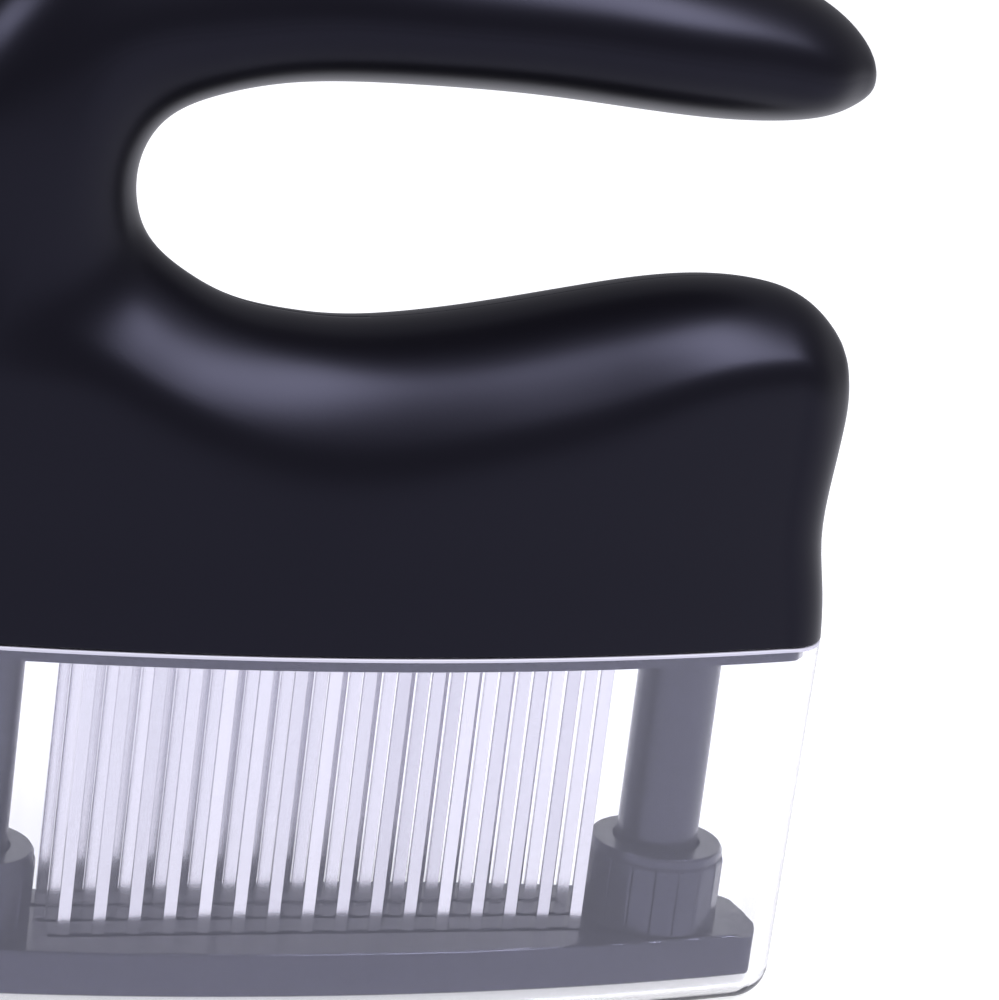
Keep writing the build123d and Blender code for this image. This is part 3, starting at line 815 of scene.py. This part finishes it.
def grip_rib():
    """One flat rib with a slanted top, standing outwards along X from the nut's axis."""
    out = collar_radius - rib_face * mm
    root = out - rib_root * mm
    width = 2 * (pi * collar_radius / rib_count - rib_gap / 2 * mm)
    slant = rib_slant * mm
    rib_top_z = collar_top_z - rib_drop * mm
    outline = [
        (root, foot_top_z), (out, foot_top_z), (out, rib_top_z - slant), (out - slant, rib_top_z),
        (root, rib_top_z),
    ]
    form = thick_outline(outline, width, rib_softness * mm, segments=3)
    for face in form.faces:
        face.smooth = True
    return as_mesh("grip_rib", form)


def nut_body(centre):
    """The turned ring of a nut: chamfered outside, with a soft lip round the relief."""
    body = collar_radius - rib_sink * mm
    bore = post_radius + nut_play * mm
    relief = relief_radius * mm
    relief_floor = collar_top_z - relief_depth * mm
    chamfer = nut_chamfer * mm
    soft = nut_softness * mm
    form = turned([
        (bore, foot_top_z), (body, foot_top_z), (body, collar_top_z - chamfer - soft),
        (body - chamfer, collar_top_z - soft / 4), (relief + soft, collar_top_z),
        (relief + soft * 0.3, collar_top_z - soft * 0.3), (relief, collar_top_z - soft),
        (relief, relief_floor), (bore, relief_floor),
    ], centre)
    for face in form.faces:
        face.smooth = True
    for edge in form.edges:
        edge.smooth = edge.calc_face_angle(0) < radians(nut_crease)
    return form


def ring_nut(node):
    """A ribbed ring nut round the foot of a post."""
    low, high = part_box(node)
    centre = (low + high) / 2
    tree, size = size_tree("ring_of_ribs", Count="Int", Centre="Vector")
    places = add_node(tree, "GeometryNodePoints", {"Count": size["Count"], "Position": size["Centre"]})
    order = add_node(tree, "GeometryNodeInputIndex")
    step = add_node(tree, "ShaderNodeMath", {0: 2 * pi, 1: size["Count"]}, operation="DIVIDE")
    angle = add_node(tree, "ShaderNodeMath", {0: order.outputs[0], 1: step.outputs[0]}, operation="MULTIPLY")
    turn = add_node(tree, "ShaderNodeCombineXYZ", {"Z": angle.outputs[0]})
    ring = add_node(tree, "GeometryNodeInstanceOnPoints", {
        "Points": places.outputs[0], "Instance": size["Geometry"], "Rotation": turn.outputs[0],
    })
    ribs = grown(
        tree, ring.outputs[0], foot_abs, grip_rib(), Count=rib_count, Centre=(centre.x, centre.y, 0.0),
    )
    form = nut_body((centre.x, centre.y))
    form.from_mesh(ribs)
    form.to_mesh(ribs)
    form.free()
    mesh = baked(node + "_form", ribs, weighted_normals)
    new_piece(node + "_ribbed", mesh, "foot", [foot_abs], node)


for node in ("collar_nut_left", "collar_nut_right"):
    ring_nut(node)

for node, slot, material in (
    ("bottom_plate", "body_black", foot_abs),
    ("shell_screws", "screw_steel", screw_steel),
    ("bottom_plate_screws", "screw_steel", screw_steel),
    ("clamp_screws", "screw_steel", screw_steel),
    ("blade_bar_front", "inner_plastic", inner_plastic),
    ("blade_bar_middle", "inner_plastic", inner_plastic),
    ("blade_bar_rear", "inner_plastic", inner_plastic),
    ("blade_clamp_plate", "inner_plastic", inner_plastic),
    ("guide_bush_left", "bush_plastic", bush_plastic),
    ("guide_bush_right", "bush_plastic", bush_plastic),
):
    smooth_copy(node, "body", material)

# The ends of the foot's top are folded like a low roof, and their ridges are crisp all the same
smooth_copy("base_plate", "foot", foot_abs, ridge=4.0)

for node, slot, material in (
    ("foot_screws", "screw_steel", screw_steel),
    ("guide_post_left", "foot_black", foot_abs),
    ("guide_post_right", "foot_black", foot_abs),
    ("stop_ring_left", "spring_steel", spring_steel),
    ("stop_ring_right", "spring_steel", spring_steel),
):
    smooth_copy(node, "foot", material)

# The springs, which shorten under their seats in the shells as the foot rises, each get a mesh of their own
for node in ("return_spring_left", "return_spring_right"):
    spring = smooth_copy(node, "body", spring_steel)
    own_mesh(spring)


# Camera: azimuth and elevation of the view, its roll, and the point it looks at
view_azimuth = radians(-21.9)
view_elevation = radians(15.72)
view_roll = radians(7.35)
view_distance = 700.6 * mm
view_target = Vector((21.0, 0, 72.7)) * mm
focal_pixels = 4963
frame_pixels = 999
sensor_width = 36.0


def studio_camera():
    """The camera of the scene, looking back along the view's direction."""
    back = Vector((
        sin(view_azimuth) * cos(view_elevation), -cos(view_azimuth) * cos(view_elevation),
        sin(view_elevation),
    ))
    level = Vector((cos(view_azimuth), sin(view_azimuth), 0))
    upright = back.cross(level)
    right = level * cos(view_roll) + upright * sin(view_roll)
    up = upright * cos(view_roll) - level * sin(view_roll)
    turn = Matrix((right, up, back)).transposed().to_4x4()
    camera = bpy.data.objects.new("camera", bpy.data.cameras.new("camera"))
    camera.data.sensor_fit = "HORIZONTAL"
    camera.data.sensor_width = sensor_width
    camera.data.lens = sensor_width * focal_pixels / frame_pixels
    camera.data.clip_start = 10 * mm
    camera.matrix_world = Matrix.Translation(view_target + back * view_distance) @ turn
    bpy.context.scene.collection.objects.link(camera)
    bpy.context.scene.camera = camera


studio_camera()

# Lights: a large softbox on the right, which draws the highlights, and a weaker one on the left
lamp_aim = Vector((0, 0, 0.1))
lamp_tint = 0xfafaff


def area_lamp(name, place, size, power):
    """A softbox at a place, turned towards the object."""
    lamp = bpy.data.lights.new(name, "AREA")
    lamp.shape = "RECTANGLE"
    lamp.size, lamp.size_y = size
    lamp.energy = power
    lamp.color = colour(lamp_tint)[:3]
    holder = bpy.data.objects.new(name, lamp)
    holder.location = place
    holder.rotation_euler = (Vector(place) - lamp_aim).to_track_quat("Z", "Y").to_euler()
    bpy.context.scene.collection.objects.link(holder)


area_lamp("softbox_right", place=(0.537, -0.597, 0.992), size=(0.43, 0.73), power=14.4)
area_lamp("softbox_left", place=(-0.866, -0.24, 0.895), size=(0.48, 0.48), power=7.6)


# The room is white where it is seen, straight or through the clear cover, and dimmer as a light
white = 0xfdfdfd
room_light = 0.36
floor_glow = 0.7
floor_in_gloss = 0.4
floor_reach = 6.0
floor_gap = 0.02 * mm


def seen_rays(tree):
    """Whether a ray comes from the camera, straight or through the clear cover; and all its kinds."""
    kinds = add_node(tree, "ShaderNodeLightPath").outputs
    seen = add_node(tree, "ShaderNodeMath", {
        0: kinds["Is Camera Ray"], 1: kinds["Is Transmission Ray"],
    }, operation="MAXIMUM")
    return seen.outputs[0], kinds


def studio_world():
    """The room round the object, plain and pale."""
    world = bpy.data.worlds.new("studio")
    tree = cleared_tree(world)
    seen = seen_rays(tree)[0]
    light = add_node(tree, "ShaderNodeBackground", {"Color": colour(0xf0f0fa), "Strength": room_light})
    backdrop = add_node(tree, "ShaderNodeBackground", {"Color": colour(white), "Strength": 1.0})
    both = add_node(tree, "ShaderNodeMixShader", {0: seen, 1: light.outputs[0], 2: backdrop.outputs[0]})
    add_node(tree, "ShaderNodeOutputWorld", {"Surface": both.outputs[0]})
    bpy.context.scene.world = world


def studio_floor():
    """A pale matt table: plain white to the camera, less so in gloss, and it keeps shadows."""
    made, tree = new_material("pale_floor")
    seen, kinds = seen_rays(tree)
    in_gloss = add_node(tree, "ShaderNodeMath", {
        0: kinds["Is Glossy Ray"], 1: floor_in_gloss,
    }, operation="MULTIPLY")
    share = add_node(tree, "ShaderNodeMath", {0: seen, 1: in_gloss.outputs[0]}, operation="MAXIMUM")
    matt = add_node(tree, "ShaderNodeBsdfDiffuse", {"Color": colour(0xcfcfd4)})
    glow = add_node(tree, "ShaderNodeEmission", {"Color": colour(white), "Strength": floor_glow})
    lit = add_node(tree, "ShaderNodeAddShader", {0: matt.outputs[0], 1: glow.outputs[0]})
    mixed = add_node(tree, "ShaderNodeMixShader", {
        0: share.outputs[0], 1: matt.outputs[0], 2: lit.outputs[0],
    })
    add_node(tree, "ShaderNodeOutputMaterial", {"Surface": mixed.outputs[0]})
    corners = [(x * floor_reach, y * floor_reach, 0) for x, y in ((-1, -1), (1, -1), (1, 1), (-1, 1))]
    mesh = bpy.data.meshes.new("floor")
    mesh.from_pydata(corners, [], [(0, 1, 2, 3)])
    mesh.materials.append(made)
    floor = bpy.data.objects.new("floor", mesh)
    floor.location.z = -floor_gap
    bpy.context.scene.collection.objects.link(floor)


studio_world()
studio_floor()
bpy.context.scene.view_settings.view_transform = "Standard"
